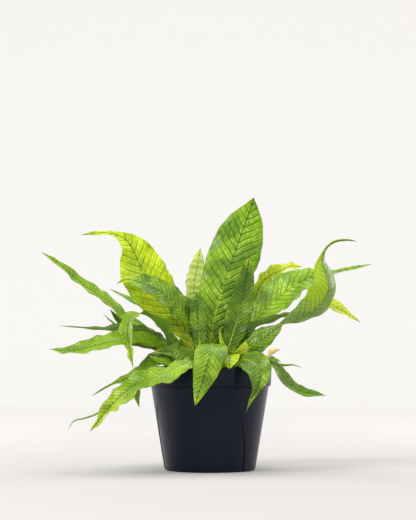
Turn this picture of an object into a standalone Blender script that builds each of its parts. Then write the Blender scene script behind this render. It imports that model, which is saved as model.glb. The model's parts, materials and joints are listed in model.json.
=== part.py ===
"""A crocodile fern in a round nursery pot, in metres, +Z up, with its origin under the middle of the pot."""

import math

import bmesh
import bpy
import numpy as np

# Pot: a thin tapered shell with a deeper rim band, four pressed-in wall panels and holes in the floor.
POT_HEIGHT = 0.129
RIM_RADIUS = 0.0772
RIM_BAND = 0.024
RIM_TAPER = 0.0010
BODY_TOP_RADIUS = 0.0733
BASE_RADIUS = 0.0565
BASE_ROUND = 0.004
WALL = 0.0018
RIM_LIP = 0.0008
POT_SEGMENTS = 64
MERGE = 0.00005

PANEL_COUNT = 4
PANEL_FIRST_ANGLE = math.radians(-67)
PANEL_HALF_ANGLE = math.radians(21)
PANEL_TOP = 0.088
PANEL_DEPTH = 0.0010
PANEL_ARCH = 1.8
PANEL_LEVELS = 5
PANEL_SPANS = 8
PANEL_OVERCUT = 0.002
PANEL_REACH = 0.004
PANEL_POINT_LIFT = 0.0005

DRAIN_COUNT = 6
DRAIN_RADIUS = 0.005
DRAIN_CIRCLE = 0.041
DRAIN_SEGMENTS = 16

# Planting: the mix ends below the rim with a flat top and a sloping edge, and the rootstock lies on it as
# a low lobed mat.
CLEARANCE = 0.0003
SOIL_TOP = 0.113
SOIL_FLAT_SHARE = 0.80
SOIL_EDGE_DROP = 0.003
MAT_RADIUS = 0.051
MAT_HEIGHT = 0.007
MAT_SEGMENTS = 48
MAT_LOBES = ((3, 0.0025, 0.4), (5, 0.0015, 1.7))
MAT_BEVEL = 0.002
MAT_TOP = SOIL_TOP + CLEARANCE + MAT_HEIGHT

# Fronds: the tables below are in millimetres and degrees.
MM = 0.001
STALK_RADIUS = 1.5
STALK_CROWN = 0.8
RIB_OVER = 0.45
RIB_UNDER = 1.25
TIP_SHARE = 0.4
ROLLED_OVER_SHARE = 0.6
SECTION_SPACING = 17.0
FEWEST_SECTIONS = 9
CURVE_STEPS = 16

# Each outline: the shares of the length where the blade leaves its stalk, is widest and starts its drip
# tip, then how full it is before and after the widest place (smaller is fuller), and half the drip tip's width.
OUTLINES = {
    "strap": (0.08, 0.52, 0.95, 1.0, 0.7, 2.3),
    "tailed": (0.08, 0.46, 0.80, 1.0, 1.1, 2.3),
    "broad": (0.10, 0.66, 0.95, 0.7, 0.45, 1.2),
    "blunt": (0.08, 0.72, 0.98, 0.9, 0.5, 1.6),
    "spear": (0.08, 0.47, 0.97, 1.0, 0.9, 1.8),
    "arrow": (0.10, 0.54, 0.77, 0.9, 0.6, 5.0),
    "long_tail": (0.20, 0.48, 0.76, 1.2, 0.8, 4.4),
    "late": (0.34, 0.60, 0.80, 1.3, 0.9, 2.6),
    "end": (0.48, 0.82, 0.97, 1.2, 0.8, 1.4),
    "rolled": (0.30, 0.96, 0.99, 1.0, 1.0, 1.0),
}

# Name, tint, outline, width, heading, (roll at stalk, at tip), lift of the margins, then the midrib:
# the foot's x and y on the rootstock, and points x, y, z from there to the tip.
FRONDS = [
    ("tall_frond", "fresh", "broad", 65, 92, (0, -6), -8,
     [(-5, 8), (1, 10, 164), (10, 17, 206), (24, 27, 251), (41, 36, 300), (52, 35, 329), (56, 33, 344)]),
    ("tall_side_frond", "deep", "strap", 32, 85, (0, 0), 10,
     [(14, -7), (23, -7, 151), (33, -3, 184), (42, 3, 219), (50, 9, 268)]),
    ("centre_left_frond", "deep", "blunt", 21, 100, (-6, -6), 12,
     [(-9, -12), (-12, -13, 148), (-14, -10, 180), (-16, -4, 206), (-17, 4, 223)]),
    ("pleated_young_frond", "yellow", "blunt", 22, 95, (0, 10), 8,
     [(-12, 27), (-14, 33, 158), (-19, 38, 196), (-20, 41, 234), (-16, 44, 258), (-12, 46, 280)]),
    ("left_arching_frond", "deep", "strap", 39, 175, (-30, -50), 12,
     [(-17, -2), (-17, -4, 158), (-28, -6, 187), (-42, -9, 206), (-62, -12, 223), (-84, -14, 233),
      (-106, -14, 238), (-117, -14, 232)]),
    ("left_broad_frond", "yellow", "arrow", 60, 160, (-45, -65), 10,
     [(-21, 15), (-26, 17, 160), (-39, 18, 185), (-58, 18, 207), (-75, 18, 229), (-85, 16, 247),
      (-94, 13, 269), (-108, 9, 290), (-133, 5, 297), (-163, 4, 294)]),
    ("far_left_upper_frond", "deep", "strap", 20, 175, (-15, -45), 12,
     [(-32, 27), (-47, 30, 154), (-84, 31, 178), (-108, 29, 192), (-127, 26, 210), (-163, 19, 235),
      (-191, 13, 259), (-213, 8, 273)]),
    ("left_small_frond", "fresh", "strap", 15, 170, (-10, -25), 12,
     [(-27, 36), (-47, 46, 160), (-88, 52, 204), (-108, 52, 217), (-129, 50, 228)]),
    ("drooping_left_frond", "deep", "strap", 28, 222, (0, 0), 14,
     [(-27, -19), (-42, -26, 152), (-63, -38, 181), (-80, -50, 194), (-94, -60, 193), (-101, -67, 176),
      (-99, -71, 156), (-93, -72, 128)]),
    ("left_level_frond", "pale", "tailed", 32, 180, (15, 24), 10,
     [(-30, 2), (-44, 1, 148), (-61, -5, 161), (-79, -10, 170), (-108, -15, 176), (-142, -17, 177),
      (-189, -18, 180)]),
    ("left_low_frond", "deep", "strap", 33, 180, (-30, -40), 12,
     [(-31, -9), (-43, -14, 138), (-58, -21, 152), (-78, -28, 161), (-104, -34, 163), (-130, -38, 158),
      (-160, -39, 151), (-181, -38, 149), (-199, -37, 151)]),
    ("withered_frond", "dry", "strap", 14, 180, (-30, -60), 20,
     [(-39, -2), (-49, -8, 137), (-59, -13, 147), (-70, -17, 153), (-85, -19, 157), (-108, -20, 158)]),
    ("folded_left_frond", "deep", "tailed", 30, 210, (-62, -45), 12,
     [(-12, -25), (-17, -32, 135), (-33, -43, 143), (-47, -50, 147), (-61, -55, 148), (-77, -60, 144)]),
    ("pointed_left_frond", "fresh", "strap", 17, 205, (-20, -40), 12,
     [(-18, -33), (-28, -42, 131), (-44, -56, 135), (-60, -68, 137), (-75, -76, 142)]),
    ("front_left_frond", "fresh", "strap", 33, 190, (-30, -50), 10,
     [(-7, -37), (-13, -54, 136), (-27, -79, 133), (-45, -91, 122), (-62, -96, 118), (-79, -98, 114),
      (-94, -99, 106), (-120, -98, 82), (-144, -94, 52)]),
    ("behind_left_frond", "deep", "tailed", 20, 195, (-20, -40), 12,
     [(-22, -26), (-38, -34, 134), (-56, -46, 137), (-78, -56, 127), (-101, -62, 116), (-124, -65, 106),
      (-145, -66, 93)]),
    ("tendril_frond", "fresh", "tailed", 13, 170, (-20, -30), 12,
     [(-38, 18), (-52, 26, 138), (-74, 30, 140), (-96, 26, 113), (-120, 14, 86), (-145, 0, 68),
      (-170, -6, 61), (-178, -6, 49)]),
    ("hanging_left_tip_frond", "deep", "strap", 16, 180, (-30, -60), 12,
     [(-40, 8), (-52, 6, 138), (-68, 0, 143), (-83, -8, 127), (-91, -12, 103), (-88, -12, 78)]),
    ("left_rear_thin_frond", "deep", "tailed", 10, 165, (-20, -30), 12,
     [(-22, 43), (-52, 62, 150), (-98, 66, 168), (-125, 62, 185), (-138, 60, 197)]),
    ("left_rear_small_frond", "deep", "strap", 13, 168, (-20, -60), 12,
     [(-31, 34), (-58, 46, 148), (-94, 51, 171), (-113, 48, 183), (-128, 45, 202)]),
    ("crumpled_right_frond", "yellow", "end", 19, 20, (40, 50), 14,
     [(14, 36), (36, 48, 155), (52, 52, 185), (61, 52, 224), (71, 52, 241), (84, 52, 246), (97, 52, 256),
      (119, 52, 256)]),
    ("right_broad_frond", "fresh", "long_tail", 53, 8, (30, 50), 10,
     [(13, 16), (26, 18, 150), (43, 21, 175), (63, 21, 196), (91, 17, 221), (121, 13, 240),
      (157, 10, 248), (205, 10, 258)]),
    ("right_folded_frond", "pale", "late", 50, 5, (-30, -60), 18,
     [(20, -6), (32, -16, 148), (60, -28, 170), (94, -36, 184), (122, -39, 196), (138, -39, 210),
      (146, -39, 225), (144, -38, 241), (139, -37, 256), (142, -35, 273), (151, -33, 282), (165, -32, 286),
      (184, -30, 284)]),
    ("right_yellow_tip_frond", "yellow", "end", 19, 5, (20, 50), 12,
     [(24, 10), (44, 17, 147), (70, 20, 166), (94, 17, 184), (118, 4, 202), (137, -6, 209),
      (152, -10, 206), (166, -12, 198), (188, -12, 184)]),
    ("right_dark_frond", "deep", "strap", 37, 5, (35, 50), 10,
     [(24, -14), (42, -9, 147), (62, -10, 160), (79, -12, 172), (91, -13, 181)]),
    ("right_grey_frond", "pale", "strap", 20, 8, (-20, -40), 10,
     [(13, 5), (28, 7, 156), (46, 7, 173), (72, 3, 186), (107, -3, 197)]),
    ("curled_young_frond", "yellow", "strap", 15, 330, (20, 60), 14,
     [(30, -24), (43, -30, 141), (46, -37, 156), (39, -43, 150), (30, -47, 145), (20, -49, 151),
      (14, -48, 163), (12, -46, 178)]),
    ("short_front_frond", "yellow", "blunt", 23, 275, (0, 0), 10,
     [(12, -38), (17, -50, 137), (22, -64, 143), (24, -77, 137), (23, -85, 127)]),
    ("front_drooping_frond", "fresh", "spear", 40, 268, (0, 0), -10,
     [(2, -29), (3, -38, 146), (3, -54, 157), (2, -70, 155), (0, -84, 145), (-4, -93, 129),
      (-9, -98, 112), (-14, -100, 97), (-18, -101, 83)]),
    ("right_front_frond", "deep", "tailed", 34, 312, (30, 40), 14,
     [(23, -33), (34, -46, 134), (46, -61, 136), (55, -73, 131), (60, -82, 119), (58, -87, 107),
      (51, -90, 94), (43, -90, 74)]),
    ("right_front_tendril_frond", "pale", "tailed", 17, 330, (-10, -30), 14,
     [(36, -17), (48, -31, 136), (59, -45, 140), (69, -55, 137), (80, -60, 132), (94, -63, 131),
      (105, -64, 132), (113, -64, 128)]),
    ("right_low_frond", "deep", "strap", 20, 345, (0, 50), 10,
     [(38, 8), (51, 6, 137), (64, 3, 142), (77, -5, 135), (89, -12, 119), (101, -17, 107),
      (115, -19, 99), (131, -20, 96), (144, -20, 93)]),
    ("rolled_dry_frond", "dry", "rolled", 13, 345, (0, 0), 0,
     [(35, -1), (44, -9, 137), (58, -16, 141), (72, -20, 145), (87, -23, 150)]),
    ("right_small_frond", "fresh", "strap", 11, 335, (20, 30), 10,
     [(34, -11), (46, -17, 131), (58, -26, 133), (70, -32, 136), (80, -35, 138), (88, -37, 135)]),
]

# Rear fronds follow one rule: name ending, tint, width, heading, foot's distance, reach, peak, tip height.
REAR_FRONDS = [
    ("a", "deep", 34, 62, 34, 92, 205, 172),
    ("b", "fresh", 38, 84, 24, 100, 222, 188),
    ("c", "deep", 36, 108, 37, 88, 204, 166),
    ("d", "fresh", 24, 141, 31, 54, 204, 190),
    ("e", "deep", 26, 34, 47, 42, 168, 156),
    ("f", "fresh", 32, 72, 45, 118, 166, 96),
    ("g", "deep", 34, 94, 47, 124, 168, 92),
    ("h", "deep", 30, 112, 44, 112, 160, 104),
    ("i", "fresh", 22, 50, 46, 58, 146, 118),
    ("j", "yellow", 22, 86, 36, 70, 182, 176),
]
REAR_LIFT = -8

# An arch of a rear frond: share of its reach, then share of its climb, up to the peak; the tip follows.
REAR_ARCH = ((0.0, 0.0), (0.10, 0.45), (0.32, 0.88), (0.62, 1.0))

# Colour and roughness of each finish.
FINISHES = {
    "plastic": ((0.017, 0.018, 0.024), 0.42),
    "mix": ((0.035, 0.022, 0.014), 0.95),
    "rootstock": ((0.10, 0.055, 0.025), 0.85),
    "deep": ((0.030, 0.085, 0.018), 0.32),
    "fresh": ((0.130, 0.300, 0.030), 0.34),
    "yellow": ((0.420, 0.560, 0.110), 0.40),
    "pale": ((0.240, 0.340, 0.170), 0.55),
    "dry": ((0.520, 0.400, 0.200), 0.70),
}


def clear_scene():
    for obj in list(bpy.data.objects):
        bpy.data.objects.remove(obj, do_unlink=True)


def new_collection(name):
    collection = bpy.data.collections.new(name)
    bpy.context.scene.collection.children.link(collection)
    return collection


def make_finish(name):
    colour, roughness = FINISHES[name]
    material = bpy.data.materials.new(name)
    material.use_nodes = True
    shader = material.node_tree.nodes["Principled BSDF"]
    shader.inputs["Base Color"].default_value = (*colour, 1.0)
    shader.inputs["Roughness"].default_value = roughness
    return material


def add_mesh(name, bm, collection, material=None):
    """Turns a finished bmesh into a named object."""
    mesh = bpy.data.meshes.new(name)
    bm.to_mesh(mesh)
    bm.free()
    obj = bpy.data.objects.new(name, mesh)
    collection.objects.link(obj)
    if material is not None:
        mesh.materials.append(material)
    return obj


def turned(name, profile, collection, material=None):
    """A profile of (radius, height) points, outer side first, turned about Z."""
    mesh = bpy.data.meshes.new(name)
    edges = [(i, i + 1) for i in range(len(profile) - 1)]
    mesh.from_pydata([(radius, 0.0, height) for radius, height in profile], edges, [])
    obj = bpy.data.objects.new(name, mesh)
    collection.objects.link(obj)
    screw = obj.modifiers.new("turn", "SCREW")
    screw.steps = POT_SEGMENTS
    screw.render_steps = POT_SEGMENTS
    screw.use_merge_vertices = True
    screw.merge_threshold = MERGE
    if material is not None:
        mesh.materials.append(material)
    return obj


def as_cutter(obj):
    obj.hide_render = True
    obj.display_type = "WIRE"
    return obj


def cut(obj, cutter):
    boolean = obj.modifiers.new("cut " + cutter.name, "BOOLEAN")
    boolean.operation = "DIFFERENCE"
    boolean.object = cutter


def wall_radius(height):
    """Outer radius of the tapered body below the rim band."""
    band_bottom = POT_HEIGHT - RIM_BAND
    return BASE_RADIUS + (BODY_TOP_RADIUS - BASE_RADIUS) * height / band_bottom


def pot_profile():
    """Outer side from the lip down, across the base, and up the inside back to the lip."""
    band_bottom = POT_HEIGHT - RIM_BAND
    corner = [math.radians(angle) for angle in (0, 30, 60, 90)]
    centre = (wall_radius(BASE_ROUND) - BASE_ROUND, BASE_ROUND)
    rounded = [(centre[0] + BASE_ROUND * math.cos(a), centre[1] - BASE_ROUND * math.sin(a)) for a in corner]
    return [
        (RIM_RADIUS - RIM_LIP, POT_HEIGHT),
        (RIM_RADIUS, POT_HEIGHT - RIM_LIP),
        (RIM_RADIUS - RIM_TAPER, band_bottom),
        (BODY_TOP_RADIUS, band_bottom - RIM_LIP),
        *rounded,
        (0.0, 0.0),
        (0.0, WALL),
        (wall_radius(0.0) - BASE_ROUND, WALL),
        (wall_radius(BASE_ROUND) - WALL, BASE_ROUND + WALL),
        (BODY_TOP_RADIUS - WALL, band_bottom - RIM_LIP),
        (RIM_RADIUS - RIM_TAPER - WALL, band_bottom + RIM_LIP),
        (RIM_RADIUS - RIM_LIP - WALL, POT_HEIGHT),
        (RIM_RADIUS - RIM_LIP, POT_HEIGHT),
    ]


def panel_cutter(index, collection):
    """A tall pointed arch of wall, full depth at the base and running out to nothing at its point."""
    middle = PANEL_FIRST_ANGLE + index * 2 * math.pi / PANEL_COUNT
    bm = bmesh.new()
    rows = []
    for level in range(PANEL_LEVELS):
        share = level / PANEL_LEVELS
        height = PANEL_TOP * share - PANEL_OVERCUT * (1 - share)
        half = PANEL_HALF_ANGLE * (1 - share ** PANEL_ARCH)
        floor = wall_radius(height) - PANEL_DEPTH * (1 - share)
        for radius in (floor, wall_radius(height) + PANEL_REACH):
            angles = [middle + half * (2 * i / PANEL_SPANS - 1) for i in range(PANEL_SPANS + 1)]
            rows.append([bm.verts.new((radius * math.cos(a), radius * math.sin(a), height)) for a in angles])
    point_radius = wall_radius(PANEL_TOP) + PANEL_POINT_LIFT
    point = bm.verts.new((point_radius * math.cos(middle), point_radius * math.sin(middle), PANEL_TOP))
    loops = [inner + outer[::-1] for inner, outer in zip(rows[::2], rows[1::2])]
    for low, high in zip(loops, loops[1:]):
        for i in range(len(low)):
            j = (i + 1) % len(low)
            bm.faces.new((low[i], low[j], high[j], high[i]))
    for i in range(len(loops[-1])):
        bm.faces.new((loops[-1][i], loops[-1][(i + 1) % len(loops[-1])], point))
    bm.faces.new(loops[0][::-1])
    bmesh.ops.triangulate(bm, faces=bm.faces)
    bmesh.ops.recalc_face_normals(bm, faces=bm.faces)
    return as_cutter(add_mesh(f"panel_cutter_{index}", bm, collection))


def drain_cutter(index, collection):
    """A round hole through the floor, off the flat middle of the base."""
    angle = (index + 0.5) * 2 * math.pi / DRAIN_COUNT
    bm = bmesh.new()
    bmesh.ops.create_cone(
        bm, cap_ends=True, segments=DRAIN_SEGMENTS, radius1=DRAIN_RADIUS, radius2=DRAIN_RADIUS, depth=4 * WALL
    )
    obj = as_cutter(add_mesh(f"drain_cutter_{index}", bm, collection))
    obj.location = (DRAIN_CIRCLE * math.cos(angle), DRAIN_CIRCLE * math.sin(angle), WALL / 2)
    return obj


def nursery_pot(parts, cutters, material):
    pot = turned("nursery_pot", pot_profile(), parts, material)
    for index in range(PANEL_COUNT):
        cut(pot, panel_cutter(index, cutters))
    for index in range(DRAIN_COUNT):
        cut(pot, drain_cutter(index, cutters))


def potting_soil(parts, material):
    """Fills the pot's body up to a flat top with a sloping edge."""
    inner_top = BODY_TOP_RADIUS - WALL - CLEARANCE
    inner_foot = wall_radius(BASE_ROUND) - WALL - CLEARANCE
    profile = [
        (0.0, SOIL_TOP),
        (inner_top * SOIL_FLAT_SHARE, SOIL_TOP),
        (inner_top, SOIL_TOP - SOIL_EDGE_DROP),
        (inner_top, POT_HEIGHT - RIM_BAND - RIM_LIP),
        (inner_foot, BASE_ROUND + WALL + CLEARANCE),
        (BASE_RADIUS - BASE_ROUND - 2 * CLEARANCE, WALL + CLEARANCE),
        (0.0, WALL + CLEARANCE),
    ]
    turned("potting_soil", profile, parts, material)


def rhizome(parts, material):
    """The rootstock: a flat mat with a lobed edge, where creeping branches have grown into each other."""
    bm = bmesh.new()
    bmesh.ops.create_cone(
        bm, cap_ends=True, segments=MAT_SEGMENTS, radius1=MAT_RADIUS, radius2=MAT_RADIUS, depth=MAT_HEIGHT
    )
    for vert in bm.verts:
        angle = math.atan2(vert.co.y, vert.co.x)
        lobes = sum(size * math.sin(count * angle + turn) for count, size, turn in MAT_LOBES)
        vert.co.x += lobes * math.cos(angle)
        vert.co.y += lobes * math.sin(angle)
    obj = add_mesh("rhizome", bm, parts, material)
    obj.location = (0.0, 0.0, MAT_TOP - MAT_HEIGHT / 2)
    bevel = obj.modifiers.new("soft edge", "BEVEL")
    bevel.width = MAT_BEVEL
    bevel.segments = 2
    bevel.limit_method = "ANGLE"


def smooth_route(points, count):
    """Count points evenly along a smooth curve through the given ones."""
    given = np.array(points, dtype=float)
    padded = np.vstack([2 * given[0] - given[1], given, 2 * given[-1] - given[-2]])
    fine = []
    for before, start, end, after in zip(padded, padded[1:], padded[2:], padded[3:]):
        for t in np.linspace(0.0, 1.0, CURVE_STEPS, endpoint=False):
            fine.append(0.5 * (2 * start + (end - before) * t
                               + (2 * before - 5 * start + 4 * end - after) * t ** 2
                               + (3 * start - before - 3 * end + after) * t ** 3))
    fine.append(given[-1])
    fine = np.array(fine)
    run = np.concatenate([[0.0], np.cumsum(np.linalg.norm(np.diff(fine, axis=0), axis=1))])
    stops = np.linspace(0.0, run[-1], count)
    return np.stack([np.interp(stops, run, fine[:, axis]) for axis in range(3)], axis=1), run[-1]


def half_width(share, width, outline):
    """Half the blade's width a given share of the way along it."""
    leaves, widest, tail, rise, fall, tail_half = OUTLINES[outline]
    if share <= leaves:
        return STALK_RADIUS
    if share <= widest:
        swell = math.sin(math.pi / 2 * (share - leaves) / (widest - leaves)) ** rise
        return STALK_RADIUS + (width / 2 - STALK_RADIUS) * swell
    if share <= tail:
        fade = max(0.0, math.cos(math.pi / 2 * (share - widest) / (tail - widest))) ** fall
        return tail_half + (width / 2 - tail_half) * fade
    return tail_half * (1 - (1 - TIP_SHARE) * (share - tail) / (1 - tail))


def blade_section(share, width, outline, lift):
    """Left margin, upper rib, right margin and lower rib, as (sideways, upward) distances."""
    half = half_width(share, width, outline)
    slim = 1 - (1 - TIP_SHARE) * share
    if outline == "rolled":
        return [(-half, 0), (0, ROLLED_OVER_SHARE * half), (half, 0), (0, -half)]
    flat = min(1.0, (half - TIP_SHARE) / (2 * STALK_RADIUS))
    margin = (half - STALK_RADIUS) * math.tan(math.radians(lift)) if half > STALK_RADIUS else 0.0
    over = STALK_CROWN + (RIB_OVER - STALK_CROWN) * flat
    return [(-half, margin), (0, over * slim), (half, margin), (0, -(over + RIB_UNDER) * slim)]


def grow_frond(name, route, width, outline, heading, rolls, lift, parts, material):
    """Lofts the blade's sections along its midrib, from the foot of the stalk to the drip tip."""
    _, length = smooth_route(route, 2)
    count = max(FEWEST_SECTIONS, round(length / SECTION_SPACING) + 2)
    spine, _ = smooth_route(route, count)
    along = np.gradient(spine, axis=0)
    along /= np.linalg.norm(along, axis=1)[:, None]
    sideways = np.array([math.sin(math.radians(heading)), -math.cos(math.radians(heading)), 0.0])
    bm = bmesh.new()
    rings = []
    for index in range(count - 1):
        share = index / (count - 1)
        tangent = along[index]
        side = sideways - tangent * sideways.dot(tangent)
        side /= np.linalg.norm(side)
        upward = np.cross(side, tangent)
        roll = math.radians(rolls[0] + (rolls[1] - rolls[0]) * share)
        turned_side = side * math.cos(roll) - upward * math.sin(roll)
        turned_up = upward * math.cos(roll) + side * math.sin(roll)
        if index == 0:
            turned_side = side * [1, 1, 0] / np.linalg.norm(side[:2])
            turned_up = np.cross(turned_side, [0.0, 0.0, 1.0])
        section = blade_section(share, width, outline, lift)
        places = [(spine[index] + turned_side * x + turned_up * y) * MM for x, y in section]
        rings.append([bm.verts.new(place) for place in places])
    tip = bm.verts.new(spine[-1] * MM)
    for low, high in zip(rings, rings[1:]):
        for i in range(4):
            bm.faces.new((low[i], low[(i + 1) % 4], high[(i + 1) % 4], high[i]))
    for i in range(4):
        bm.faces.new((rings[-1][i], rings[-1][(i + 1) % 4], tip))
    bm.faces.new(rings[0][::-1])
    bmesh.ops.triangulate(bm, faces=bm.faces)
    bmesh.ops.recalc_face_normals(bm, faces=bm.faces)
    add_mesh(name, bm, parts, material)


def rear_route(heading, foot, reach, peak, tip):
    """An arch that rises from the rootstock and bends outwards, as (x, y, z) points."""
    floor = (MAT_TOP + CLEARANCE) / MM
    direction = np.array([math.cos(math.radians(heading)), math.sin(math.radians(heading))])
    stops = [(share, floor + climb * (peak - floor)) for share, climb in REAR_ARCH] + [(1.0, tip)]
    return [(*(direction * (foot + reach * share)), height) for share, height in stops]


def main():
    clear_scene()
    parts = new_collection("potted_fern")
    cutters = new_collection("cutters")
    cutters.hide_render = True
    finish = {name: make_finish(name) for name in FINISHES}
    nursery_pot(parts, cutters, finish["plastic"])
    potting_soil(parts, finish["mix"])
    rhizome(parts, finish["rootstock"])
    floor = (MAT_TOP + CLEARANCE) / MM
    for name, tint, outline, width, heading, rolls, lift, midrib in FRONDS:
        route = [(*midrib[0], floor), *midrib[1:]]
        grow_frond(name, route, width, outline, heading, rolls, lift, parts, finish[tint])
    for ending, tint, width, heading, foot, reach, peak, tip in REAR_FRONDS:
        name = "rear_frond_" + ending
        route = rear_route(heading, foot, reach, peak, tip)
        grow_frond(name, route, width, "strap", heading, (0, 0), REAR_LIFT, parts, finish[tint])


main()
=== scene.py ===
import itertools
import json
import math
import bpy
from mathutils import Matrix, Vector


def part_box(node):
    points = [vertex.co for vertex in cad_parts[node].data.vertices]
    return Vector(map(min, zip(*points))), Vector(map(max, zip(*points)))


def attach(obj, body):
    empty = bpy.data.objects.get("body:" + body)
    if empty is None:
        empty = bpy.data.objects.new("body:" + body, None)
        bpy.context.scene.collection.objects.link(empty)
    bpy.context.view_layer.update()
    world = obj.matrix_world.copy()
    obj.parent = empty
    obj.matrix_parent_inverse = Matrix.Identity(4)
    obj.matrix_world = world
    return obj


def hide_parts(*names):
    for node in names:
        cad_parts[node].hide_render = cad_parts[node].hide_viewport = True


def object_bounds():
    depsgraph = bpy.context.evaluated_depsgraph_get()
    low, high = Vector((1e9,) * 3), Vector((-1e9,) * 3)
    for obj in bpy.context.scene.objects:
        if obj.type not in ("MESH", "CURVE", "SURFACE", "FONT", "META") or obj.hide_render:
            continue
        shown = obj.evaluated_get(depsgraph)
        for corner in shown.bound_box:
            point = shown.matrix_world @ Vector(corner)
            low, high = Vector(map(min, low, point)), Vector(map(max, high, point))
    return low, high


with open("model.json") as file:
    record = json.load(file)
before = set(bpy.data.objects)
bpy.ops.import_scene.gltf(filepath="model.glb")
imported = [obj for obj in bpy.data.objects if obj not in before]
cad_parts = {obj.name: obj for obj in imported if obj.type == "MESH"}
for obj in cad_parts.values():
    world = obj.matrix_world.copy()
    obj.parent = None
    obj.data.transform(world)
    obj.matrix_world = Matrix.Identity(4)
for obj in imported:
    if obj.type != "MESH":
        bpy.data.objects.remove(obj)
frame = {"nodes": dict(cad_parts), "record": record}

import zlib

import bmesh
import bpy
import numpy as np
from mathutils import Vector

cad_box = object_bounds()
slot_of = {entry["node"]: entry["material_slot"] for entry in frame["record"]["subparts"]}

# Nursery pot. One injection-moulded shell of dark charcoal plastic, with a deep rim band for lifting, four
# pointed arches sunk in its tapered wall and drain holes round the floor. It simply stands on its base.

pot_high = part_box("nursery_pot")[1]
pot_height = pot_high[2]
rim_radius = pot_high[0]
band_depth = 0.024
band_bottom = pot_height - band_depth
body_top_radius = rim_radius - 0.0037
base_radius = 0.0565
wall_thickness = 0.0013
foot_round = 0.0040
arch_top = 0.088
arch_depth = 0.0011
arch_half_angle = math.radians(23)
arch_angles = [math.radians(-66 + 90 * k) for k in range(4)]


def wall_radius(height):
    """Outer radius of the round wall below the rim band."""
    return base_radius + (body_top_radius - base_radius) * height / band_bottom


def arc(centre, radius, start, end, steps):
    """Points on a round corner, as (radius, height) pairs, angles in degrees."""
    angles = [math.radians(start + (end - start) * k / steps) for k in range(steps + 1)]
    return [(centre[0] + radius * math.cos(a), centre[1] + radius * math.sin(a)) for a in angles]


def straight(start, end, steps):
    """Points along a straight run of the profile, without its ends."""
    return [tuple(s + (e - s) * k / steps for s, e in zip(start, end)) for k in range(1, steps)]


def pot_outline():
    """The pot's section, from the middle of the underside out, up, over the lip and down inside."""
    lip = wall_thickness / 2
    under = [(0.0, 0.0), (base_radius * 0.35, 0.0), (base_radius * 0.62, 0.0), (base_radius * 0.84, 0.0)]
    corner = arc((wall_radius(foot_round) - foot_round, foot_round), foot_round, -90, 0, 5)
    step_low = (body_top_radius, band_bottom - 0.0012)
    step = arc((rim_radius - 0.0018, band_bottom + 0.0010), 0.0010, -90, 0, 4)
    top = arc((rim_radius - lip, pot_height - lip), lip, 0, 180, 6)
    inner_step = (rim_radius - 0.0010 - wall_thickness, band_bottom + 0.0008)
    inner_low = (body_top_radius - wall_thickness, band_bottom - 0.0012)
    inner_foot = (wall_radius(foot_round) - wall_thickness, foot_round + wall_thickness)
    floor_edge = (base_radius - foot_round, wall_thickness)
    outer = under + corner + straight(corner[-1], step_low, 26) + [step_low] + step
    outer += straight(step[-1], top[0], 5) + top
    inner = straight(top[-1], inner_step, 5) + [inner_step, inner_low]
    inner += straight(inner_low, inner_foot, 20) + [inner_foot, floor_edge, (0.0, wall_thickness)]
    return outer + inner


def turned_shell(name, outline, sides):
    """Turns an outline that starts and ends on the axis."""
    bm = bmesh.new()
    rings = []
    for radius, height in outline:
        if radius == 0.0:
            rings.append([bm.verts.new((0.0, 0.0, height))])
            continue
        ring = []
        for k in range(sides):
            angle = 2 * math.pi * k / sides
            ring.append(bm.verts.new((radius * math.cos(angle), radius * math.sin(angle), height)))
        rings.append(ring)
    for low, high in zip(rings, rings[1:]):
        for k in range(sides):
            j = (k + 1) % sides
            if len(low) == 1:
                bm.faces.new((low[0], high[j], high[k]))
            elif len(high) == 1:
                bm.faces.new((low[k], low[j], high[0]))
            else:
                bm.faces.new((low[k], low[j], high[j], high[k]))
    bmesh.ops.recalc_face_normals(bm, faces=bm.faces)
    mesh = bpy.data.meshes.new(name)
    bm.to_mesh(mesh)
    bm.free()
    return mesh


def place(name, mesh):
    """Puts a finished mesh in the scene, at the origin."""
    piece = bpy.data.objects.new(name, mesh)
    bpy.context.scene.collection.objects.link(piece)
    return piece


def settle(piece):
    """Turns a piece's live modifiers into plain mesh."""
    evaluated = piece.evaluated_get(bpy.context.evaluated_depsgraph_get())
    mesh = bpy.data.meshes.new_from_object(evaluated)
    piece.modifiers.clear()
    piece.data = mesh
    return piece


def join_node(tree, kind, values=None, **settings):
    """Adds a node. Values are its inputs by name or number: plain values, or sockets to link."""
    node = tree.nodes.new(kind)
    for key, setting in settings.items():
        setattr(node, key, setting)
    for key, value in (values or {}).items():
        socket = node.inputs[key]
        if isinstance(value, bpy.types.NodeSocket):
            tree.links.new(value, socket)
        else:
            socket.default_value = value
    return node


def calc(tree, operation, *values, clamp=False):
    """A Math node's result."""
    node = join_node(tree, "ShaderNodeMath", dict(enumerate(values)), operation=operation, use_clamp=clamp)
    return node.outputs[0]


def times(tree, *factors):
    """The product of its factors."""
    product = factors[0]
    for factor in factors[1:]:
        product = calc(tree, "MULTIPLY", product, factor)
    return product


def blend_colours(tree, share, low, high):
    """Mixes two colours by a share."""
    node = join_node(tree, "ShaderNodeMix", {0: share, 6: low, 7: high}, data_type="RGBA")
    return node.outputs[2]


def remap(tree, value, low, high, new_low=0.0, new_high=1.0):
    """Stretches a value's range smoothly onto another."""
    values = {0: value, 1: low, 2: high, 3: new_low, 4: new_high}
    return join_node(tree, "ShaderNodeMapRange", values, interpolation_type="SMOOTHSTEP").outputs[0]


def new_finish(name):
    """An empty material with its output node."""
    material = bpy.data.materials.new(name)
    material.use_nodes = True
    material.node_tree.nodes.clear()
    output = material.node_tree.nodes.new("ShaderNodeOutputMaterial")
    return material, material.node_tree, output


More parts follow.
